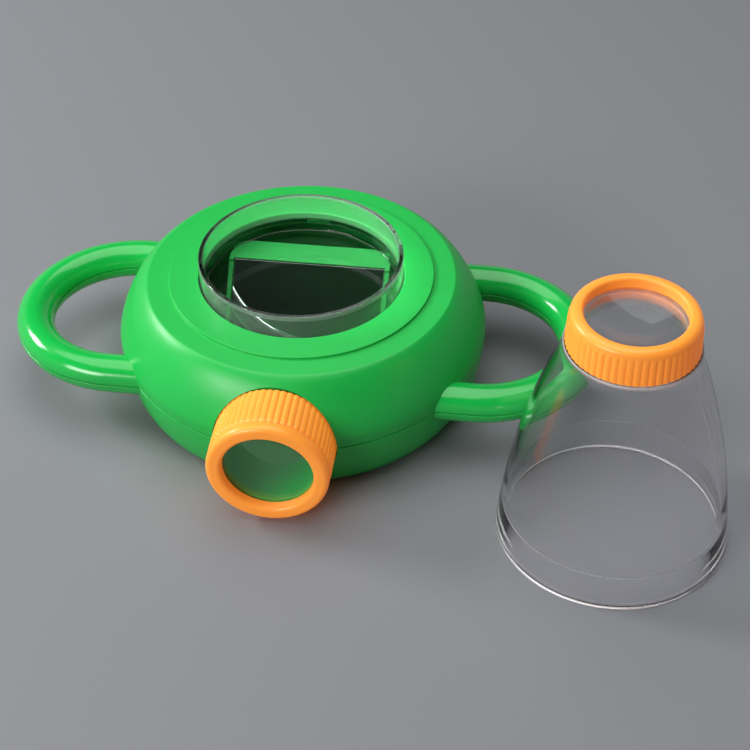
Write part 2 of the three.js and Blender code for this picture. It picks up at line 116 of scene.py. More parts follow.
class Finish:
    # the nodes of one material, lamp or world
    def __init__(self, name, owner=None):
        self.owner = owner or bpy.data.materials.new(name)
        self.owner.use_nodes = True
        self.tree = self.owner.node_tree
        self.tree.nodes.clear()

    def node(self, kind, settings, sockets, output=0):
        made = self.tree.nodes.new(kind)
        for key, value in settings.items():
            setattr(made, key, value)
        for key, value in sockets.items():
            socket = made.inputs[key]
            if isinstance(value, Link):
                self.tree.links.new(value.socket, socket)
            else:
                socket.default_value = value
        return Link(self, made.outputs[output]) if made.outputs else made

    def place(self):
        return self.node("ShaderNodeTexCoord", {}, {}, "Object")

    def speckle(self, size, detail=2, rough=0.5, warp=0):
        # noise from 0 to 1 with features of the given size in millimetres
        settings = {"noise_dimensions": "3D"}
        sockets = {"Vector": self.place(), "Scale": 1 / (size * mm), "Detail": detail,
                   "Roughness": rough, "Distortion": warp}
        return self.node("ShaderNodeTexNoise", settings, sockets, "Fac")

    def ramp(self, value, low, high, start=0, end=1):
        sockets = {"Value": value, "From Min": low, "From Max": high,
                   "To Min": start, "To Max": end}
        return self.node("ShaderNodeMapRange", {"clamp": True}, sockets)

    def tint(self, first, second, share):
        settings = {"data_type": "RGBA", "clamp_factor": True}
        return self.node("ShaderNodeMix", settings, {0: share, 6: first, 7: second}, 2)

    def bump(self, height, depth, strength=1):
        # depth in millimetres
        sockets = {"Height": height, "Distance": depth * mm, "Strength": strength}
        return self.node("ShaderNodeBump", {}, sockets)

    def show(self, shader):
        self.node("ShaderNodeOutputMaterial", {}, {"Surface": shader})
        return self.owner

    def plain(self, sockets):
        return self.show(self.node("ShaderNodeBsdfPrincipled", {}, sockets))


def colour(red, green, blue):
    return (red, green, blue, 1)


# Mouldings in coloured plastic. All patterns have their sizes in millimetres.
patternValues = {
    "cloudSize": 26,
    "cloudRange": (0.3, 0.7),
    "fleckSize": 1.7,
    "fleckRange": (0.35, 0.65),
    "cloudShare": 0.75,  # the rest is the flecks'
    "waveSize": 14,
    "waveDepth": 5,  # times the grain's
    "waveStrength": 0.25,
    "patchSize": 7,
    "patchRoughness": 0.09,
    "grainRoughness": 0.08,
}
drumGreens = {"light": colour(0.012, 0.56, 0.082), "deep": colour(0.009, 0.52, 0.07)}
plasticValues = {
    "drum": {
        "name": "satinGreen", **drumGreens,
        "roughness": 0.37, "grainSize": 0.42, "grainDepth": 0.022,
        "sockets": {"IOR": 1.53},
    },
    "handle": {
        "name": "glossyGreen", **drumGreens,
        "roughness": 0.18, "grainSize": 2.4, "grainDepth": 0.004,
        "sockets": {"IOR": 1.52, "Coat Weight": 0.3, "Coat Roughness": 0.1},
    },
    # a darker copy of the drum's green, painted shade for the hollow inside, also used on the
    # mirror frame and barrel
    "inner": {
        "name": "shadedInnerGreen", "light": colour(0.01, 0.39, 0.06), "deep": colour(0.008, 0.35, 0.052),
        "roughness": 0.5, "grainSize": 0.7, "grainDepth": 0.012,
        "sockets": {"IOR": 1.47},
    },
    "cap": {
        "name": "mouldedOrange", "light": colour(1.0, 0.45, 0.062), "deep": colour(1.0, 0.4, 0.047),
        "roughness": 0.3, "grainSize": 0.9, "grainDepth": 0.008,
        "sockets": {  # the subsurface is real; the emission is a painted glow that stands for light spreading inside the plastic
            "IOR": 1.5, "Subsurface Weight": 0.2, "Subsurface Radius": (1, 0.42, 0.12),
            "Subsurface Scale": 0.0012,
            "Emission Color": colour(1, 0.18, 0.015), "Emission Strength": 0.37,
        },
    },
}


def makePlastic(v, pattern):
    made = Finish(v["name"])
    cloud = made.ramp(made.speckle(pattern["cloudSize"], 3, 0.55), *pattern["cloudRange"])
    fleck = made.ramp(made.speckle(pattern["fleckSize"], 2), *pattern["fleckRange"])
    share = cloud * pattern["cloudShare"] + fleck * (1 - pattern["cloudShare"])
    grain = made.speckle(v["grainSize"], 2, 0.6)
    wave = made.speckle(pattern["waveSize"], 1)
    relief = made.bump(wave, v["grainDepth"] * pattern["waveDepth"], pattern["waveStrength"])
    fine = made.node("ShaderNodeBump", {}, {
        "Height": grain, "Distance": v["grainDepth"] * mm, "Normal": relief})
    patches = (made.speckle(pattern["patchSize"], 3) - 0.5) * pattern["patchRoughness"]
    rough = v["roughness"] + patches + (grain - 0.5) * pattern["grainRoughness"]
    return made.plain({
        "Base Color": made.tint(v["deep"], v["light"], share), "Roughness": rough, "Normal": fine,
        **v["sockets"]})


# Clear mouldings: polished, with faint flow lines and haze, and paler along cut edges; the foot's
# pale rim is a painted highlight and its dark inner edge painted shade
clearValues = {
    "tint": colour(0.945, 0.96, 0.96),
    "coneTint": colour(0.962, 0.953, 0.962),
    "index": 1.45,
    "roughness": 0.012,
    "flowSize": 22,
    "flowWarp": 0.4,
    "flowDepth": 0.05,
    "flowStrength": 0.35,
    "smearSize": 9,
    "smearRange": (0.55, 0.85),
    "smearRoughness": 0.02,
    "scratchSize": 0.8,
    "scratchRange": (0.68, 0.8),
    "scratchRoughness": 0.03,
    "shadowTint": colour(0.84, 0.86, 0.86),
    "coneShadowTint": colour(0.545, 0.545, 0.555),  # the cone's curved wall turns more light aside
    "haze": 0.085,  # milky share of the dish's wall
    "lip": 0.16,  # and so of its lip
    "neck": 0.08,  # and of the cone's threaded neck, shoulder, foot and step
    "shoulder": 0.34,
    # the foot's high milky share makes a painted highlight, a pale rim for light leaving the foot
    "foot": 0.7,
    "stepEdge": 0.22,
    "softRoughness": 0.3,
    "footPaintedShade": colour(0.09, 0.055, 0.055),  # painted shade: a dark tint for light that is lost in the foot's inner edge
}


def makeClear(v, name, milky, roughness, shadowTint, tint):
    made = Finish(name)
    flow = made.speckle(v["flowSize"], 2, 0.5, v["flowWarp"])
    ripple = made.bump(flow, v["flowDepth"], v["flowStrength"])
    smear = made.ramp(made.speckle(v["smearSize"], 4), *v["smearRange"], 0, v["smearRoughness"])
    scratch = made.speckle(v["scratchSize"], 3)
    scratch = made.ramp(scratch, *v["scratchRange"], 0, v["scratchRoughness"])
    glass = made.node("ShaderNodeBsdfPrincipled", {}, {
        "Base Color": tint, "Transmission Weight": 1 - milky, "IOR": v["index"],
        "Roughness": roughness + smear + scratch, "Normal": ripple})
    letThrough = made.node("ShaderNodeBsdfTransparent", {}, {"Color": shadowTint})
    lampRay = made.node("ShaderNodeLightPath", {}, {}, "Is Shadow Ray")
    return made.show(made.node("ShaderNodeMixShader", {}, {0: lampRay, 1: glass, 2: letThrough}))


mirrorValues = {
    "bright": colour(0.83, 0.87, 0.85),
    "dull": colour(0.78, 0.83, 0.8),
    "roughness": 0.025,
    "smearSize": 11,
    "smearRange": (0.5, 0.8),
    "smearRoughness": 0.05,
    "cloudSize": 30,
    "cloudRange": (0.3, 0.7),
    "waveSize": 18,
    "waveDepth": 0.05,
    "waveStrength": 0.3,
}


def makeMirrorFinish(v):
    made = Finish("silveredSheet")
    smear = made.speckle(v["smearSize"], 4, 0.6, 0.6)
    smear = made.ramp(smear, *v["smearRange"], 0, v["smearRoughness"])
    shade = made.ramp(made.speckle(v["cloudSize"], 2), *v["cloudRange"])
    return made.plain({
        "Base Color": made.tint(v["bright"], v["dull"], shade), "Metallic": 1,
        "Roughness": v["roughness"] + smear,
        "Normal": made.bump(made.speckle(v["waveSize"], 1), v["waveDepth"], v["waveStrength"])})


foamValues = {
    "light": colour(0.24, 0.25, 0.26),
    "dark": colour(0.12, 0.125, 0.13),
    "cell": 0.55,
    "cellRange": (0.1, 0.7),
    "cellDepth": 0.2,
    "roughness": 0.95,
}


def makeFoamFinish(v):
    made = Finish("padFoam")
    sockets = {"Vector": made.place(), "Scale": 1 / (v["cell"] * mm)}
    cells = made.node("ShaderNodeTexVoronoi", {"feature": "F1"}, sockets, "Distance")
    base = made.tint(v["dark"], v["light"], made.ramp(cells, *v["cellRange"]))
    return made.plain({
        "Base Color": base, "Roughness": v["roughness"],
        "Normal": made.bump(cells, v["cellDepth"])})


steelValues = {
    "bright": colour(0.66, 0.66, 0.65),
    "dull": colour(0.5, 0.5, 0.49),
    "roughness": 0.26,
    "brushSize": 0.35,
    "brushRoughness": 0.14,
    "brushDepth": 0.01,
    "spotSize": 1.6,
    "spotRange": (0.35, 0.65),
}


def makeSteelFinish(v):
    made = Finish("zincPlate")
    brushed = made.speckle(v["brushSize"], 3)
    spots = made.ramp(made.speckle(v["spotSize"], 3), *v["spotRange"])
    return made.plain({
        "Base Color": made.tint(v["dull"], v["bright"], spots), "Metallic": 1,
        "Roughness": v["roughness"] + brushed * v["brushRoughness"],
        "Normal": made.bump(brushed, v["brushDepth"])})


finishes = {word: makePlastic(v, patternValues) for word, v in plasticValues.items()}
softCone = ("softRoughness", "coneShadowTint", "coneTint")
clearFinishes = {  # milky share, roughness, shadow tint and tint
    "clear": (0, "roughness", "shadowTint", "tint"),
    "haze": ("haze", "roughness", "shadowTint", "tint"),
    "lip": ("lip", "softRoughness", "shadowTint", "tint"),
    "coneWall": (0, "roughness", "coneShadowTint", "coneTint"),
    "shadedFootEdge": (0, "softRoughness", "coneShadowTint", "footPaintedShade"),
    **{word: (word, *softCone) for word in ("neck", "shoulder", "foot", "stepEdge")},
}
for word, (milky, *others) in clearFinishes.items():
    choices = [clearValues[other] for other in others]
    finishes[word] = makeClear(clearValues, f"{word}Plastic", clearValues.get(milky, 0), *choices)
finishes["mirror"] = makeMirrorFinish(mirrorValues)
finishes["foam"] = makeFoamFinish(foamValues)
finishes["steel"] = makeSteelFinish(steelValues)
print("finishes made:", len(finishes))


# Mesh making. Outlines are lists of (radius, height); a corner is (radius, height, fillet).

def rounded(corners, steps=4, closed=True):
    points = []
    for i, (x, y, fillet) in enumerate(corners):
        here = Vector((x, y))
        if fillet == 0 or (not closed and i in (0, len(corners) - 1)):
            points.append((x, y))
            continue
        before = Vector(corners[i - 1][:2]) - here
        after = Vector(corners[(i + 1) % len(corners)][:2]) - here
        half = before.angle(after) / 2
        start = here + before.normalized() * (fillet / math.tan(half))
        end = here + after.normalized() * (fillet / math.tan(half))
        inwards = (before.normalized() + after.normalized()).normalized()
        middle = here + inwards * (fillet / math.sin(half))
        sweep = math.pi - 2 * half
        turn = 1 if (start - middle).cross(end - middle) > 0 else -1
        for k in range(steps + 1):
            angle = turn * sweep * k / steps
            arm = (start - middle).copy()
            arm.rotate(Matrix.Rotation(angle, 2))
            points.append(tuple(middle + arm))
    return points


def withRows(outline, radius, step):
    # splits the straight stretches at one radius, so that they can carry a thread or ribs
    points = []
    for (r, z), (nextR, nextZ) in zip(outline, outline[1:] + outline[:1]):
        points.append((r, z))
        if abs(r - radius) < 1e-6 and abs(nextR - radius) < 1e-6:
            count = max(1, round(abs(nextZ - z) / step))
            points += [(r, z + (nextZ - z) * k / count) for k in range(1, count)]
    return points


def newObject(points, faces):
    mesh = bpy.data.meshes.new("piece")
    mesh.from_pydata([tuple(c * mm for c in p) for p in points], [], faces)
    made = placed("piece", mesh)
    outwards(made)
    return made


def outwards(made):
    work = bmesh.new()
    work.from_mesh(made.data)
    bmesh.ops.recalc_face_normals(work, faces=work.faces)
    work.to_mesh(made.data)
    work.free()


def turned(outline, sides, relief=None, closed=True):
    # an outline turned about Z; relief(radius, height, angle) gives the radius where it varies
    points, rings, faces = [], [], []
    for radius, height in outline:
        if radius < 1e-6:
            rings.append([len(points)] * sides)
            points.append((0, 0, height))
            continue
        rings.append(list(range(len(points), len(points) + sides)))
        for k in range(sides):
            angle = 2 * math.pi * k / sides
            r = relief(radius, height, angle) if relief else radius
            points.append((r * math.cos(angle), r * math.sin(angle), height))
    for low, high in zip(rings, rings[1:] + (rings[:1] if closed else [])):
        for k in range(sides):
            following = (k + 1) % sides
            corners = [low[k], low[following], high[following], high[k]]
            face = list(dict.fromkeys(corners))
            if len(face) > 2:
                faces.append(face)
    return newObject(points, faces)


def swept(section, path, normals):
    # a closed section of (outwards, up) carried along a level path, with both ends closed
    size = len(section)
    points, faces = [], []
    for (x, y, z), (nx, ny) in zip(path, normals):
        points += [(x + nx * u, y + ny * u, z + v) for u, v in section]
    for i in range(len(path) - 1):
        for k in range(size):
            following = (k + 1) % size
            low, high = i * size, (i + 1) * size
            faces.append([low + k, low + following, high + following, high + k])
    faces.append(list(range(size)))
    faces.append([(len(path) - 1) * size + k for k in reversed(range(size))])
    return newObject(points, faces)


def block(low, high):
    corners = list(itertools.product(*zip(low, high)))
    faces = [(0, 1, 3, 2), (4, 6, 7, 5), (0, 4, 5, 1), (2, 3, 7, 6), (0, 2, 6, 4), (1, 5, 7, 3)]
    return newObject(corners, faces)


def slab(outline, low, high):
    # an outline of (x, y) drawn up from low to high
    size = len(outline)
    points = [(x, y, z) for z in (low, high) for x, y in outline]
    faces = [[k, (k + 1) % size, size + (k + 1) % size, size + k] for k in range(size)]
    faces += [list(range(size)), list(range(size, 2 * size))]
    return newObject(points, faces)


def rod(radius, low, high, sides, edge=0):
    corners = [(0, low, 0), (radius, low, edge), (radius, high, edge), (0, high, 0)]
    return turned(rounded(corners, 3, False), sides, closed=False)


def moved(made, matrix):
    # matrix has its places in millimetres
    matrix = matrix.copy()
    matrix.translation *= mm
    made.data.transform(matrix)
    return made


def applied(made):
    shown = made.evaluated_get(bpy.context.evaluated_depsgraph_get())
    mesh = bpy.data.meshes.new_from_object(shown)
    made.modifiers.clear()
    made.data = mesh
    return made


def combined(made, others, operation):
    for other in others:
        join = made.modifiers.new("join", "BOOLEAN")
        join.operation, join.solver, join.object = operation, "MANIFOLD", other
        applied(made)
        bpy.data.objects.remove(other)
    return made


def bevelled(made, width, segments=2, angle=40):
    edge = made.modifiers.new("edge", "BEVEL")
    edge.width, edge.segments = width * mm, segments
    edge.limit_method, edge.angle_limit = "ANGLE", math.radians(angle)
    return applied(made)


def dressed(made, node, body, finish, angle=34):
    # the piece gets its node's name, in camelCase
    first, *others = node.split("_")
    made.name = made.data.name = first + "".join(word.title() for word in others)
    made.data.materials.clear()
    for each in finish if isinstance(finish, list) else [finish]:
        made.data.materials.append(finishes[each])
    made.data.shade_smooth()
    made.data.set_sharp_from_angle(angle=math.radians(angle))
    weigh = made.modifiers.new("weigh", "WEIGHTED_NORMAL")
    weigh.keep_sharp = True
    applied(made)
    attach(made, body)
    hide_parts(node)
    return made


def painted(made, finish, pick, centre=Vector((0, 0))):
    # pick(radius, height) gives each face's finish
    for face in made.data.polygons:
        c = face.center / mm
        face.material_index = finish.index(pick(math.hypot(c.x - centre.x, c.y - centre.y), c.z))


# Places that the pieces share, from the frame
upperLow, upperHigh = cadSpan("upper_shell")
lowerLow, lowerHigh = cadSpan("lower_shell")
seam = (upperLow.z + lowerHigh.z) / 2
seamHalf = (upperLow.z - lowerHigh.z) / 2
plateau = upperHigh.z
drumRadius = upperHigh.y
handleOut = upperHigh.x
dishLow, dishHigh = cadSpan("viewing_dish")
coneLow, coneHigh = cadSpan("magnifier_cone")
coneCentre = (coneLow + coneHigh) / 2
sideways = Matrix.Translation((0, 0, seam)) @ Matrix.Rotation(math.pi / 2, 4, "X")  # Z to -Y
onCone = Matrix.Translation((coneCentre.x, coneCentre.y, 0))
clearance = 0.3


# Drum shells with their half handles
drumValues = {
    "widest": 25.7,  # height of the widest radius
    "base": 55.5,
    "lowerPower": 1.85,  # of the superellipses below and above the widest radius
    "upperPower": 1.39,
    "shoulder": 11.4,
    "plateau": 46.3,
    "step": 1.0,
    "wall": 2.2,
    "opening": 36.0,
    "seamEdge": 0.32,
    "stepEdges": (0.22, 0.3),
    "openingEdge": 0.45,
    "sides": 256,
    "rows": 30,
    "cavitySides": 128,
    "cavityRows": 14,
    "handle": 6.7,
    "handleWall": 2.0,
    "handleSteps": 72,
    "spread": 33.2,
    "reach": 34.0,
    "pocket": 20.95,
    "pocketFloor": 57.0,
    "pocketSides": 128,
    "barrelHole": 16.8,
    "barrelHoleSides": 96,
    "screwCircle": 50.9,
    "bossRadius": 3.8,
    "bossEdge": 0.3,
    "wellHeight": 12.0,
    "wellRadius": 3.2,
    "screwHole": 1.8,
    "screwHoleTop": 32.0,
    "handleBoss": 3.4,
    "handleWell": 3.1,
    "handleWellRadius": 2.5,
    "handleHole": 1.5,
    "handleHoleDepth": 8.0,
    "postSides": 32,
    "holeSides": 24,
    "tongueThickness": 1.8,
    "tongueWidth": 9.0,
    "heldFlange": 1.6,
    "barbReach": 1.2,
    "barbFlat": 0.65,
    "barbLength": 1.9,
    "mirrorBossPlace": (18.0, 30.6),
    "mirrorBossTop": 6.0,
    "mirrorBoss": 3.6,
    "mirrorHole": 1.6,
    "skin": 0.3,  # depth from the outside that counts as outside
    "handleSkin": 0.12,  # distance from the drum at which the handles' gloss starts
}


def quarter(flat, wide, height, rise, power, steps):
    # from the widest radius to the flat, as a superellipse
    points = []
    for i in range(steps + 1):
        angle = i / steps * math.pi / 2
        cosine = max(math.cos(angle), 0)
        points.append((flat + (wide - flat) * cosine ** (2 / power),
                       height + rise * math.sin(angle) ** (2 / power)))
    points[-1] = (flat, height + rise)
    return points


def drumCurves(v, inset, steps):
    shoulder = plateau - v["step"] - inset
    wide = drumRadius - inset
    rise = shoulder - v["widest"]
    lower = quarter(v["base"], wide, v["widest"], inset - v["widest"], v["lowerPower"], steps)
    upper = quarter(drumRadius - v["shoulder"], wide, v["widest"], rise, v["upperPower"], steps)
    return lower, upper


def drumOutline(v):
    # from the base up to the shoulder
    lower, upper = drumCurves(v, 0, v["rows"])
    return [*reversed(lower), *upper[1:]]


def radiusAt(curve, height):
    for (r, z), (nextR, nextZ) in zip(curve, curve[1:]):
        if min(z, nextZ) <= height <= max(z, nextZ):
            return r + (nextR - r) * (height - z) / (nextZ - z)
    return curve[0][0]


def handlePath(v):
    start = handleOut - v["handle"] - v["reach"]
    path = [(start - v["reach"], -v["spread"], seam)]
    normals = [(0, -1)]
    for i in range(v["handleSteps"] + 1):
        angle = math.pi * (i / v["handleSteps"] - 0.5)
        path.append((start + v["reach"] * math.cos(angle), v["spread"] * math.sin(angle), seam))
        out = Vector((v["spread"] * math.cos(angle), v["reach"] * math.sin(angle))).normalized()
        normals.append((out.x, out.y))
    path.append((start - v["reach"], v["spread"], seam))
    normals.append((0, 1))
    return path, normals


def handleTubes(v, section):
    # one for the right handle and one for the left
    path, normals = handlePath(v)
    turns = [Matrix.Rotation(angle, 4, "Z") for angle in (0, math.pi)]
    return [moved(swept(section, path, normals), turn) for turn in turns]


def halfDisc(radius, rise, edge, steps=28):
    # the half of a disc above rise (or below it, where rise is negative), with eased corners
    side = 1 if rise > 0 else -1
    start = math.asin(abs(rise) / radius)
    points = []
    for i in range(steps + 1):
        angle = start + (math.pi - 2 * start) * i / steps
        fillet = edge if i in (0, steps) else 0
        points.append((radius * math.cos(angle), side * radius * math.sin(angle), fillet))
    return rounded(points, 3) if edge else [p[:2] for p in points]


def shellSolid(v, upper):
    # one half of the drum as a solid with its half handles, eased along the seam
    side = 1 if upper else -1
    level = seam + side * seamHalf
    full = drumOutline(v)
    rim = radiusAt(full, level)
    if upper:
        outer = [(r, z, 0) for r, z in full if z > level + v["seamEdge"] * 1.5]
        shoulder = plateau - v["step"]
        inward, outward = v["stepEdges"]
        corners = [(v["opening"], level, 0), (rim, level, v["seamEdge"]), *outer,
                   (v["plateau"], shoulder, inward), (v["plateau"], plateau, outward),
                   (v["opening"], plateau, v["openingEdge"])]
    else:
        outer = [(r, z, 0) for r, z in full if z < level - v["seamEdge"] * 1.5]
        corners = [(0, 0, 0), *outer, (rim, level, v["seamEdge"]), (0, level, 0)]
    solid = turned(rounded(corners, 4, upper), v["sides"], closed=upper)
    section = halfDisc(v["handle"], side * seamHalf, v["seamEdge"])
    return combined(solid, handleTubes(v, section), "UNION")


def cavity(v):
    lower, higher = drumCurves(v, v["wall"], v["cavityRows"])
    inner = v["plateau"] - v["wall"]
    ceiling = plateau - v["wall"]
    corners = [(0, v["wall"], 0), *[(r, z, 0) for r, z in reversed(lower)],
               *[(r, z, 0) for r, z in higher[1:]], (inner, ceiling - v["step"], 0),
               (inner, ceiling, 0.3), (0, ceiling, 0)]
    room = turned(rounded(corners, 2, False), v["cavitySides"], closed=False)
    floor = v["pocketFloor"] - v["wall"]
    sleeve = rod(v["pocket"] + v["wall"], floor, 2 * drumRadius, v["barrelHoleSides"])
    return combined(room, [moved(sleeve, sideways)], "DIFFERENCE")


def hollowed(v, solid):
    combined(solid, [cavity(v)], "DIFFERENCE")
    floor, far = v["pocketFloor"], 2 * drumRadius
    pocket = rod(v["pocket"], floor, far, v["pocketSides"])
    hole = rod(v["barrelHole"], floor - 2 * v["wall"], far, v["barrelHoleSides"])
    combined(solid, [moved(pocket, sideways), moved(hole, sideways)], "DIFFERENCE")
    radius, sides = v["handle"] - v["handleWall"], v["postSides"]
    angles = [2 * math.pi * k / sides for k in range(sides)]
    section = [(radius * math.cos(a), radius * math.sin(a)) for a in angles]
    return combined(solid, handleTubes(v, section), "DIFFERENCE")


def screwPlaces(v):
    quarterTurns = [math.radians(45 * k) for k in (1, 3, 5, 7)]
    return [(v["screwCircle"] * math.cos(a), v["screwCircle"] * math.sin(a)) for a in quarterTurns]


def at(made, x, y):
    return moved(made, Matrix.Translation((x, y, 0)))


def leftAndRight(x, y):
    return [(-x, y), (x, y)]


def bored(shell, places, post, *holes):
    # a post with its holes at each place; each is a rod's radius, low, high and sides
    for x, y in places:
        combined(shell, [at(rod(*post), x, y)], "UNION")
        combined(shell, [at(rod(*hole), x, y) for hole in holes], "DIFFERENCE")


def tongueSolid(v):
    # a snap tongue under the plateau; its barb holds the dish's flange
    ceiling = plateau - v["wall"]
    inner = dishHigh.x + clearance
    barbTop = ceiling - clearance - v["heldFlange"] - clearance
    barb, end = inner - v["barbReach"], barbTop - v["barbLength"]
    back = inner + v["tongueThickness"]
    outline = [(inner, ceiling + 1), (inner, barbTop), (barb, barbTop),
               (barb, barbTop - v["barbFlat"]), (inner, end), (back, end), (back, ceiling + 1)]
    bar = slab(outline, -v["tongueWidth"] / 2, v["tongueWidth"] / 2)
    return moved(bar, Matrix.Rotation(math.pi / 2, 4, "X"))


def dressShell(v, shell, node):
    # satin outside, gloss on the handles, plain inside in a darker green that is painted shade
    finish = ["drum", "handle", "inner"]
    dressed(shell, node, "base", finish)
    full, shoulder = drumOutline(v), plateau - v["step"]

    def pick(radius, height):
        edge = radiusAt(full, min(max(height, 0.01), shoulder - 0.01))
        if radius > edge + v["handleSkin"]:
            return "handle"
        flat = height > shoulder - v["skin"] or height < 0.1
        return "drum" if flat or radius > edge - v["skin"] else "inner"

    painted(shell, finish, pick)


def makeUpperShell(v):
    shell = hollowed(v, shellSolid(v, True))
    level = seam + seamHalf
    for k in range(4):
        combined(shell, [moved(tongueSolid(v), Matrix.Rotation(math.pi / 2 * k, 4, "Z"))], "UNION")
    top = plateau - v["step"] - v["wall"] / 2
    bored(shell, screwPlaces(v), (v["bossRadius"], level, top, v["postSides"], v["bossEdge"]),
          (v["screwHole"], 0, v["screwHoleTop"], v["holeSides"]))
    top = seam + v["handle"] - v["handleWall"] / 2
    holeTop = seam - v["handle"] + v["handleWell"] + v["handleHoleDepth"]
    bored(shell, leftAndRight(handleOut - v["handle"], 0),
          (v["handleBoss"], level, top, v["postSides"]),
          (v["handleHole"], 0, holeTop, v["holeSides"]))
    dressShell(v, shell, "upper_shell")


def makeLowerShell(v):
    shell = hollowed(v, shellSolid(v, False))
    level, low = seam - seamHalf, seam - v["handle"]
    postSides, holeSides = v["postSides"], v["holeSides"]
    bored(shell, screwPlaces(v),
          (v["bossRadius"] + v["wall"] / 2, v["wall"] / 2, level, postSides),
          (v["wellRadius"], -v["wall"], v["wellHeight"], postSides),
          (v["screwHole"], 0, plateau, holeSides))
    bored(shell, leftAndRight(handleOut - v["handle"], 0),
          (v["handleBoss"], low + v["handleWall"] / 2, level, postSides),
          (v["handleWellRadius"], 0, low + v["handleWell"], postSides),
          (v["handleHole"], 0, plateau, holeSides))
    bored(shell, leftAndRight(*v["mirrorBossPlace"]),
          (v["mirrorBoss"], v["wall"] / 2, v["mirrorBossTop"], postSides, v["bossEdge"]),
          (v["mirrorHole"], v["wall"] / 2, plateau, holeSides))
    dressShell(v, shell, "lower_shell")


makeUpperShell(drumValues)
makeLowerShell(drumValues)
print("drum shells made")


# Clear dish, held by its flange
dishValues = {
    "radius": 35.6,
    "wall": 1.5,
    "floor": 1.5,
    "flangeThickness": 1.6,
    "lip": 1.7,
    "lowEdge": 0.6,
    "flangeEdge": 0.25,
    "rimEdges": (0.4, 0.3),
    "floorEdge": 0.8,
    "hazeSkin": 0.2,  # depths from the outside that count as outside
    "lipSkin": 0.05,
    "sides": 192,
}


def makeDish(v):
    low, rim = dishLow.z, dishHigh.z
    flangeTop = plateau - drumValues["wall"] - clearance
    flangeLow = flangeTop - v["flangeThickness"]
    outer, inside, flange = v["radius"], v["radius"] - v["wall"], dishHigh.x
    edge = v["flangeEdge"]
    outerEdge, innerEdge = v["rimEdges"]
    corners = [
        (0, low, 0), (outer, low, v["lowEdge"]), (outer, flangeLow, edge),
        (flange, flangeLow, edge), (flange, flangeTop, edge), (outer, flangeTop, 0.2),
        (outer, rim - v["lip"], 0), (outer, rim, outerEdge), (inside, rim, innerEdge),
        (inside, low + v["floor"], v["floorEdge"]), (0, low + v["floor"], 0),
    ]
    made = turned(rounded(corners, 5, False), v["sides"], closed=False)
    finish = ["clear", "haze", "lip"]
    dressed(made, "viewing_dish", "base", finish)

    def pick(radius, height):
        if radius > outer - v["lipSkin"] and rim - v["lip"] < height < rim - outerEdge - 0.02:
            return "lip"
        return "haze" if radius > outer - v["hazeSkin"] and height > flangeTop else "clear"

    painted(made, finish, pick)


makeDish(dishValues)
print("dish made")


# Mirror, pad and frame on the 45 degree slope
mirrorSizes = {
    "rim": 1.6,
    "rimRise": 0.6,
    "floor": 1.8,
    "thickness": 1.6,
    "pad": 0.8,
    "padMargin": 3.0,
    "ledgeThickness": 1.8,
    "legSpread": 18.0,
    "legThickness": 2.4,
    "footReach": 9.0,
    "footWidth": 9.0,
    "footHeight": 6.3,
    "footThickness": 1.8,
    "edge": 0.22,
    "foamCell": 2.2,
    "foamDip": 0.08,
    "foamWaves": 0.35,  # per millimetre
}


def onSlope(made):
    turn = Matrix.Rotation(math.radians(45), 4, "X")
    return moved(made, Matrix.Translation((0, 0, seam)) @ turn)


def makeMirrorSet(v):
    plateLow, plateHigh = cadSpan("mirror_plate")
    frameLow, frameHigh = cadSpan("mirror_frame")
    half = plateHigh.x
    top = (plateHigh.z - seam) * math.sqrt(2)
    bottom = plateLow.y * math.sqrt(2)
    depth = v["thickness"] + v["pad"] + 2 * clearance + v["floor"]

    sheet = block((-half, bottom, -v["thickness"]), (half, top, 0))
    plate = onSlope(bevelled(sheet, v["edge"], 3))
    dressed(plate, "mirror_plate", "base", "mirror")

    low = -v["thickness"] - clearance - v["pad"]
    sheet = block((-half + v["padMargin"], bottom + v["padMargin"], low),
                  (half - v["padMargin"], top - v["padMargin"], low + v["pad"]))
    pad = onSlope(softened(sheet, v))
    dressed(pad, "mirror_pad", "base", "foam")

    wide = frameHigh.x
    ledgeTop = dishLow.z - clearance
    slotLow, slotHigh = bottom - clearance, top + clearance
    ledgeBack = frameHigh.y - v["footReach"]
    ledgeFront = slotHigh / math.sqrt(2) - v["rim"]
    tray = onSlope(block((-wide, slotLow - v["rim"], -depth),
                         (wide, slotHigh + v["rim"], v["rimRise"])))
    slot = onSlope(block((-half - clearance, slotLow, v["floor"] - depth),
                         (half + clearance, slotHigh, plateau)))
    ledge = block((-wide, ledgeFront, ledgeTop - v["ledgeThickness"]), (wide, ledgeBack, ledgeTop))
    under = block((-2 * wide, -drumRadius, 0), (2 * wide, drumRadius, ledgeTop))
    combined(tray, [ledge], "UNION")
    combined(tray, [slot], "DIFFERENCE")
    combined(tray, [under], "INTERSECT")
    for side in (-1, 1):
        x = side * v["legSpread"]
        leg = block((x - v["legThickness"] / 2, ledgeFront + 2 * v["rim"], v["footHeight"]),
                    (x + v["legThickness"] / 2, ledgeBack, ledgeTop - v["ledgeThickness"] / 2))
        footTop = v["footHeight"] + v["footThickness"]
        foot = block((x - v["footWidth"] / 2, ledgeBack - v["legThickness"], v["footHeight"]),
                     (x + v["footWidth"] / 2, ledgeBack + v["footReach"], footTop))
        combined(tray, [leg, foot], "UNION")
    bevelled(tray, v["edge"], 2)
    for side in (-1, 1):
        hole = rod(drumValues["mirrorHole"], 0, seam, drumValues["holeSides"])
        place = (side * v["legSpread"], ledgeBack + v["footReach"] - v["footWidth"] / 2)
        combined(tray, [at(hole, *place)], "DIFFERENCE")
    dressed(tray, "mirror_frame", "base", "inner")


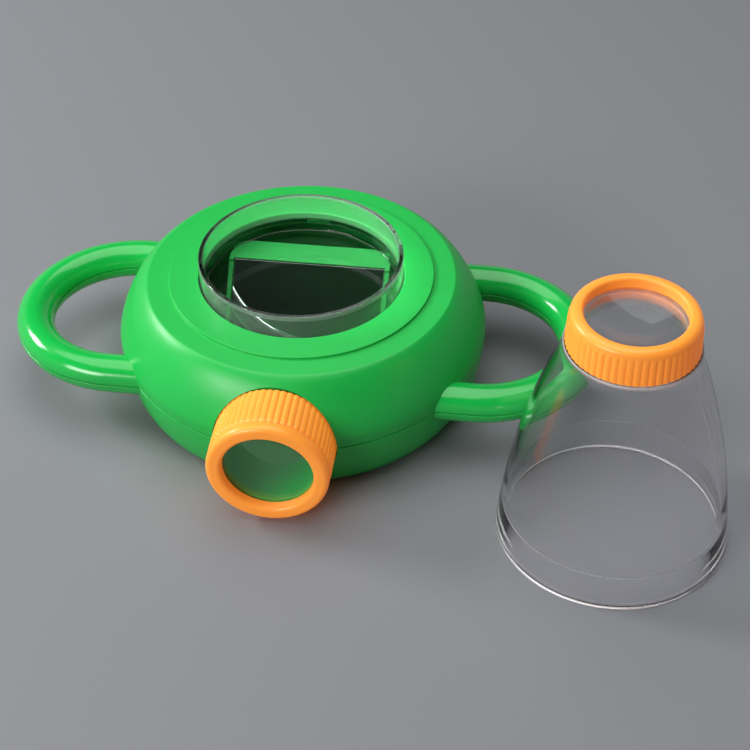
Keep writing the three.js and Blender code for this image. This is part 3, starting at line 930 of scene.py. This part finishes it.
def softened(made, v):
    # foam: eased edges and a slightly uneven face
    work = bmesh.new()
    work.from_mesh(made.data)
    for axis in range(3):
        low = min(p.co[axis] for p in work.verts)
        high = max(p.co[axis] for p in work.verts)
        count = max(1, int((high - low) / mm / v["foamCell"])) if axis < 2 else 2
        for i in range(1, count):
            where, normal = Vector((0, 0, 0)), Vector((0, 0, 0))
            where[axis], normal[axis] = low + (high - low) * i / count, 1
            everything = work.verts[:] + work.edges[:] + work.faces[:]
            bmesh.ops.bisect_plane(work, geom=everything, plane_co=where, plane_no=normal)
    top = max(p.co.z for p in work.verts)
    bottom = min(p.co.z for p in work.verts)
    for point in work.verts:
        dip = v["foamDip"] * mm * (0.5 + 0.5 * noise.noise(point.co / mm * v["foamWaves"]))
        if abs(point.co.z - top) < 1e-6:
            point.co.z -= dip
        elif abs(point.co.z - bottom) < 1e-6:
            point.co.z += dip
    work.to_mesh(made.data)
    work.free()
    return bevelled(made, v["edge"] * 0.7, 2, 60)


makeMirrorSet(mirrorSizes)
print("mirror set made")


# Threads, lenses and screw caps
threadValues = {
    "lead": 3.0,
    "height": 0.95,
    "width": 1.1,
    "runOut": 40.0,  # degrees
    "root": 17.2,
    "bore": 18.55,
    "step": 0.14,
}


def ridge(height, angle, low, turns, v):
    # how far the thread stands off its wall
    share = angle / (2 * math.pi)
    for turn in range(math.ceil(turns) + 1):
        along = turn + share
        if along > turns:
            return 0
        away = abs(height - low - v["lead"] * along)
        if away < v["width"] / 2:
            fade = min(1, 0.08 + min(along, turns - along) * 360 / v["runOut"])
            flank = min(1, (v["width"] / 2 - away) / (v["width"] / 4))
            return v["height"] * fade * (flank * flank * (3 - 2 * flank))
    return 0


def threaded(t, start, turns):
    # an outside thread on the faces at the root radius
    def relief(radius, height, angle):
        if abs(radius - t["root"]) > 1e-6:
            return radius
        return radius + ridge(height, angle, start, turns, t)

    return relief


barrelValues = {
    "bore": 15.2,
    "relief": 15.9,  # of the bore behind the drum's wall
    "mouth": 17.6,
    "frontEnd": 0.6,  # of the bore, past the wall's face
    "reliefEnd": 0.3,
    "mouthEnd": 0.9,
    "groove": 16.5,
    "flange": 18.8,
    "collar": 18.1,
    "thickness": 1.7,
    "edge": 0.25,
    "collarEdge": 0.15,
    "frontEdge": 0.3,
    "turns": 2,
    "sides": 240,
}


def threadLow(front, turns):
    return front - threadValues["width"] - threadValues["lead"] * turns


def makeBarrel(v, t):
    low, high = cadSpan("eyepiece_barrel")
    rear, front = -high.y, -low.y
    floorBack = drumValues["pocketFloor"] - drumValues["wall"] - clearance
    floorFront = drumValues["pocketFloor"] + clearance
    collarFront = floorFront + v["thickness"]
    edge, collarEdge, frontEdge = v["edge"], v["collarEdge"], v["frontEdge"]
    corners = [
        (v["mouth"], rear, edge), (v["flange"], rear, edge), (v["flange"], floorBack, collarEdge),
        (v["groove"], floorBack, 0), (v["groove"], floorFront, 0),
        (v["collar"], floorFront, collarEdge), (v["collar"], collarFront, edge),
        (t["root"], collarFront, 0), (t["root"], front, frontEdge),
        (v["bore"], front, frontEdge), (v["bore"], floorFront + v["frontEnd"], 0.12),
        (v["relief"], floorFront + v["frontEnd"], 0), (v["relief"], floorBack - v["reliefEnd"], 0),
        (v["mouth"], floorBack - v["mouthEnd"], 0.1),
    ]
    start = threadLow(front, v["turns"])
    outline = withRows(rounded(corners, 4), t["root"], t["step"])
    made = turned(outline, v["sides"], threaded(t, start, v["turns"]))
    dressed(moved(made, sideways), "eyepiece_barrel", "base", "inner")
    return start


lensValues = {
    "radius": 17.2,
    "edge": 1.5,
    "bulgeIn": {"side_lens": 1.2, "top_lens": 2.0},
    "bulgeOut": 0.45,
    "steps": 14,
    "sides": 160,
    "ease": 0.2,
}


def makeLens(v, node, low, place):
    clear = v["radius"] - v["edge"]

    def face(bulge):
        ball = (clear ** 2 + bulge ** 2) / (2 * bulge)
        radii = [clear * i / v["steps"] for i in range(v["steps"] + 1)]
        return [(r, math.sqrt(ball ** 2 - r ** 2) - ball + bulge) for r in radii]

    under = [(r, low - up, 0) for r, up in face(v["bulgeIn"][node])]
    over = [(r, low + v["edge"] + up, 0) for r, up in reversed(face(v["bulgeOut"]))]
    rim = [(v["radius"], low, v["ease"]), (v["radius"], low + v["edge"], v["ease"])]
    made = turned(rounded([*under, *rim, *over], 3, False), v["sides"], closed=False)
    dressed(moved(made, place), node, node, "clear")  # node and body share a name


capValues = {
    "ribs": 56,
    "ribDepth": 0.35,
    "samples": 8,  # round each rib
    "lip": 3.5,
    "lensBore": 17.5,
    "ribEnd": 1.1,  # length over which each rib rounds off
    "ribPower": 2.2,
    "endDepth": 0.48,
    "bezelStep": 0.7,
    "rimEase": 0.15,
    "rowStep": 0.5,
}
sideCapValues = {"radius": 20.6, "opening": 15.3, "bezel": 20.5, "rounding": 1.9, "ribFront": 4.4}
topCapValues = {"radius": 20.8, "opening": 15.9, "bezel": 19.9, "rounding": 2.1, "ribFront": 3.2}


def makeCap(v, size, t, word, rear, front, grippedLow, place):
    gripTop = front - size["ribFront"]
    seat = front - v["lip"]
    rimBack = seat - lensValues["edge"] - 2 * clearance + v["rimEase"]
    crest, bezel, opening = size["radius"], size["bezel"], size["opening"]
    bevel = (bezel - size["rounding"] - opening) * 0.5
    start = grippedLow + t["lead"] / 2
    corners = [
        (t["bore"], rear, 0.25), (crest, rear, 0.3), (crest, gripTop, 0),
        (bezel, gripTop + v["bezelStep"], 0), (bezel, front, size["rounding"]),
        (opening, front, bevel * 0.95), (opening, seat, 0.1), (v["lensBore"], seat, 0),
        (v["lensBore"], rimBack, 0), (t["bore"], rimBack, 0),
    ]
    outline = withRows(withRows(rounded(corners, 7), crest, v["rowStep"]), t["bore"], t["step"])
    pitch = 2 * math.pi / v["ribs"]

    def relief(radius, height, angle):
        if abs(radius - t["bore"]) < 1e-6:
            return radius - ridge(height, angle, start, 1, t)
        if radius < crest - 0.45 or height > gripTop + 0.05:
            return radius
        across = abs(2 * ((angle / pitch) % 1) - 1)  # 0 on a rib's crest, 1 in the valley
        valley = v["ribDepth"] * across ** v["ribPower"]
        near = max(0.0, 1 - (gripTop - height) / v["ribEnd"])  # 1 at the rib's front end
        return radius - valley - v["endDepth"] * (1 - math.sqrt(max(0.0, 1 - near * near)))

    made = turned(outline, v["ribs"] * v["samples"], relief)
    dressed(moved(made, place), f"{word}_lens_cap", f"{word}_cap", "cap", 50)


def makeLensAndCap(word, size, rear, front, start, place):
    lensLow = front - capValues["lip"] - clearance - lensValues["edge"]
    makeLens(lensValues, f"{word}_lens", lensLow, place)
    makeCap(capValues, size, threadValues, word, rear, front, start, place)


def makeEyepiece():
    start = makeBarrel(barrelValues, threadValues)
    low, high = cadSpan("side_lens_cap")
    makeLensAndCap("side", sideCapValues, -high.y, -low.y, start, sideways)


makeEyepiece()
print("eyepiece made")


# Magnifying cone with its lens and cap
coneValues = {
    "base": 38.5,
    "baseWall": 2.4,
    "skirt": 12.7,
    "skirtEnd": 1.4,  # how far below the step it ends
    "taper": 1.4,
    "step": 0.2,
    "stepEdge": 0.45,  # height of the paler line on the step
    "wall": 1.6,
    "bulge": 2.1,
    "shoulder": 21.4,
    "shoulderHeight": 75.6,
    "shoulderRim": 2.6,
    "edge": 0.4,
    "shoulderEdge": 0.5,
    "neckEdge": 0.3,
    "skirtRound": 4,
    "insideRound": 6,
    "turns": 1.5,
    "sides": 224,
    "rows": 24,
}


def makeCone(v, t):
    skirtTop = v["base"] - v["taper"]
    foot = skirtTop - v["step"]
    shoulderTop = v["shoulderHeight"] + v["shoulderRim"]
    skirtEnd, ceiling = v["skirt"] - v["skirtEnd"], shoulderTop - v["wall"]
    bore, neckTop = barrelValues["bore"], coneHigh.z
    outer = []
    for i in range(v["rows"] + 1):
        share = i / v["rows"]
        swell = 4 * v["bulge"] * share * (1 - share)
        outer.append((foot + (v["shoulder"] - foot) * share + swell,
                      v["skirt"] + (v["shoulderHeight"] - v["skirt"]) * share, 0))
    inner = [(r - v["wall"], z, 0) for r, z, _ in reversed(outer)]
    edgeTop = Vector(outer[0]).lerp(Vector(outer[1]), v["stepEdge"] / (outer[1][1] - outer[0][1]))
    outer.insert(1, tuple(edgeTop))
    start = threadLow(neckTop, v["turns"])
    corners = [
        (v["base"] - v["baseWall"], 0, v["edge"]), (v["base"], 0, v["edge"]),
        (skirtTop, skirtEnd, v["skirtRound"]), *outer,
        (v["shoulder"], shoulderTop, v["shoulderEdge"]), (t["root"], shoulderTop, 0),
        (t["root"], neckTop, v["neckEdge"]), (bore, neckTop, v["neckEdge"]),
        (bore, ceiling, v["edge"]), (v["shoulder"] - v["wall"], ceiling, v["shoulderEdge"]),
        *inner[:-3], (skirtTop - v["wall"] - 0.1, skirtEnd - 0.1, v["insideRound"]),
    ]
    outline = withRows(rounded(corners, 5), t["root"], t["step"])
    made = turned(outline, v["sides"], threaded(t, start, v["turns"]))
    finish = ["coneWall", "neck", "shoulder", "foot", "shadedFootEdge", "stepEdge"]
    dressed(moved(made, onCone), "magnifier_cone", "cone", finish)

    def pick(radius, height):
        if height < 0.5:
            # the foot's dark inner edge is painted shade, its pale outer rim a painted highlight
            return "foot" if radius > v["base"] - 1.0 else "shadedFootEdge"
        if radius > v["shoulder"] - 1.2 and height > shoulderTop - 0.4:
            return "shoulder"
        if v["skirt"] < height < v["skirt"] + v["stepEdge"] and radius > foot - 1:
            return "stepEdge"
        return "neck" if height > shoulderTop + 0.2 else "coneWall"

    painted(made, finish, pick, coneCentre)
    return start


def makeConeSet():
    start = makeCone(coneValues, threadValues)
    low, high = cadSpan("top_lens_cap")
    makeLensAndCap("top", topCapValues, low.z, high.z, start, onCone)


makeConeSet()
print("cone made")


# Cross-head screws with a fine thread
screwSizes = {
    "body": {"shank": 1.5, "length": 20.0, "head": 2.9, "height": 1.9},
    "handle": {"shank": 1.2, "length": 8.0, "head": 2.2, "height": 1.5},
    "mirror": {"shank": 1.3, "length": 6.0, "head": 2.5, "height": 1.6},
    "crown": (0.6, 0.3),  # place and rounding, as shares of the head's radius
    "side": (0.4, 0.2),  # and as shares of its height
    "tip": 0.12,
    "recess": 0.8,
    "recessReach": 0.55,  # as a share of the head's radius
    "recessDepth": 0.55,  # as a share of its height
    "pitch": 1.0,
    "threadStart": 0.8,
    "threadDepth": 0.22,
    "rowStep": 0.125,
}


def makeScrew(v, kind, which, place):
    size = v[kind]
    shank, length, head, height = size["shank"], size["length"], size["head"], size["height"]
    core = shank - v["threadDepth"]
    point = length - 2 * shank
    (crown, crownRound), (side, sideRound) = v["crown"], v["side"]
    corners = [
        (0, -height, 0), (head * crown, -height, head * crownRound),
        (head, -height * side, height * sideRound), (head, 0, 0.08),
        (core, 0, 0.1), (core, point, 0), (v["tip"], length, 0), (0, length, 0),
    ]

    def relief(radius, along, angle):
        if abs(radius - core) > 1e-6 or not v["threadStart"] < along < point:
            return radius
        phase = (along / v["pitch"] - angle / (2 * math.pi)) % 1
        return core + v["threadDepth"] * max(0, 1 - abs(phase - 0.5) * 4)

    outline = withRows(rounded(corners, 4, False), core, v["rowStep"])
    made = turned(outline, drumValues["holeSides"], relief, closed=False)
    half, arm = v["recess"] / 2, head * v["recessReach"]
    for x, y in ((arm, half), (half, arm)):
        cut = block((-x, -y, -2 * height), (x, y, height * (v["recessDepth"] - 1)))
        combined(made, [cut], "DIFFERENCE")
    dressed(moved(made, place), f"{kind}_screw_{which}", "base", "steel", 40)


def makeScrews(v):
    for i, (x, y) in enumerate(screwPlaces(drumValues)):
        place = Matrix.Translation((x, y, drumValues["wellHeight"] - clearance))
        makeScrew(v, "body", i + 1, place)
    footTop = mirrorSizes["footHeight"] + mirrorSizes["footThickness"]
    wellTop = seam - drumValues["handle"] + drumValues["handleWell"]
    bossX, bossY = drumValues["mirrorBossPlace"]
    handleX = handleOut - drumValues["handle"]
    for side, word in ((-1, "left"), (1, "right")):
        place = Matrix.Translation((side * handleX, 0, wellTop - clearance))
        makeScrew(v, "handle", word, place)
        place = Matrix.Translation((side * bossX, bossY, footTop + clearance))
        flipped = place @ Matrix.Rotation(math.pi, 4, "X")  # this one is driven from above
        makeScrew(v, "mirror", word, flipped)


makeScrews(screwSizes)
print("screws made")


# Floor, lamps and surroundings, in metres
studioValues = {
    "floorSize": 8.0,
    "floorDrop": 0.00005,
    "floorColour": colour(0.253, 0.26, 0.279),
    "floorDeep": 0.94,  # share of that colour in its darker flecks
    "floorGrain": 0.0009,
    "floorRoughness": 0.75,
    "backdrop": colour(0.283, 0.29, 0.31),  # of the floor beyond the lamps' reach
    "lit": (0.42, 0.95),  # distances between which the one passes into the other
    "aim": (0.03, -0.01, 0.03),
    "lamps": {
        "overhead": {"place": (-0.1, 0.12, 1.15), "size": (1.25, 1.25), "power": 10.4},
        "left": {"place": (-1.05, 0.2, 0.62), "size": (0.34, 0.26), "power": 8.0},
        "leftFront": {"place": (-0.64, -0.86, 0.52), "size": (0.66, 0.3), "power": 6.6},
    },
    "sky": colour(0.93, 0.955, 1),
    "behind": 0.306,  # the background that the camera sees
    "shown": 0.42,  # and that gloss and glass show
    "fill": 0.025,  # what it lights the object with
    "above": 0.01,  # the dark room above, which the mirror shows
    "fade": (0.2, 0.52),  # between these two, as heights on a unit ball
}


def makeFloor(v):
    made = Finish("paleFloor")
    deep = colour(*(c * v["floorDeep"] for c in v["floorColour"][:3]))
    shade = made.tint(v["floorColour"], deep, made.speckle(v["floorGrain"] / mm, 2))
    sockets = {"Base Color": shade, "Roughness": v["floorRoughness"]}
    plain = made.node("ShaderNodeBsdfPrincipled", {}, sockets)
    rays = made.node("ShaderNodeLightPath", {}, {}, "Is Camera Ray")
    seen = made.ramp(rays + rays.other("Is Glossy Ray") + rays.other("Is Transmission Ray"), 0, 1)
    direct = made.ramp(rays.other("Diffuse Depth"), 0, 1, 1, 0)
    reach = made.node("ShaderNodeVectorMath", {"operation": "LENGTH"}, {0: made.place()}, "Value")
    backdrop = made.node("ShaderNodeEmission", {}, {"Color": v["backdrop"], "Strength": 1})
    share = made.ramp(reach, *v["lit"]) * seen * direct
    mixed = made.node("ShaderNodeMixShader", {}, {0: share, 1: plain, 2: backdrop})
    side = v["floorSize"] / 2
    turns = ((-1, -1), (1, -1), (1, 1), (-1, 1))
    corners = [(side * x, side * y, -v["floorDrop"]) for x, y in turns]
    mesh = bpy.data.meshes.new("floor")
    mesh.from_pydata(corners, [], [(0, 1, 2, 3)])
    mesh.materials.append(made.show(mixed))
    floor = placed("floor", mesh)


def dimBehindGlass(lamp):
    # dull surfaces already get the lamps' light through the clear pieces as shadow rays
    made = Finish(lamp.name, lamp)
    clearRay = made.node("ShaderNodeLightPath", {}, {}, "Is Transmission Ray")
    bounced = made.ramp(clearRay.other("Diffuse Depth"), 0, 1)
    glow = made.node("ShaderNodeEmission", {}, {"Strength": 1})
    dark = made.node("ShaderNodeEmission", {}, {"Strength": 0})
    mixed = made.node("ShaderNodeMixShader", {}, {0: clearRay * bounced, 1: glow, 2: dark})
    made.node("ShaderNodeOutputLight", {}, {"Surface": mixed})


def makeLamps(v):
    for name, lamp in v["lamps"].items():
        data = bpy.data.lights.new(name, "AREA")
        data.shape, data.energy = "RECTANGLE", lamp["power"]
        data.size, data.size_y = lamp["size"]
        made = placed(name, data)
        made.location = lamp["place"]
        aim = Vector(v["aim"]) - Vector(lamp["place"])
        made.rotation_euler = aim.to_track_quat("-Z", "Y").to_euler()
        dimBehindGlass(data)


def makeWorld(v):
    world = bpy.data.worlds.new("studio")
    bpy.context.scene.world = world
    made = Finish("studio", world)
    camera = made.node("ShaderNodeLightPath", {}, {}, "Is Camera Ray")
    direct = made.ramp(camera.other("Diffuse Depth"), 0, 1, 1, 0)  # before any diffuse bounce
    view = made.node("ShaderNodeTexCoord", {}, {}, "Generated")
    rise = made.node("ShaderNodeSeparateXYZ", {}, {"Vector": view}, "Z")
    graded = made.ramp(rise, *v["fade"], v["shown"], v["above"])
    seen = camera * v["behind"] + (1 - camera) * graded
    level = seen * direct + (1 - direct) * v["fill"]
    sky = made.node("ShaderNodeBackground", {}, {"Color": v["sky"], "Strength": level})
    made.node("ShaderNodeOutputWorld", {}, {"Surface": sky})


makeFloor(studioValues)
makeLamps(studioValues)
makeWorld(studioValues)
bpy.context.scene.view_settings.view_transform = "Standard"
print("studio made")
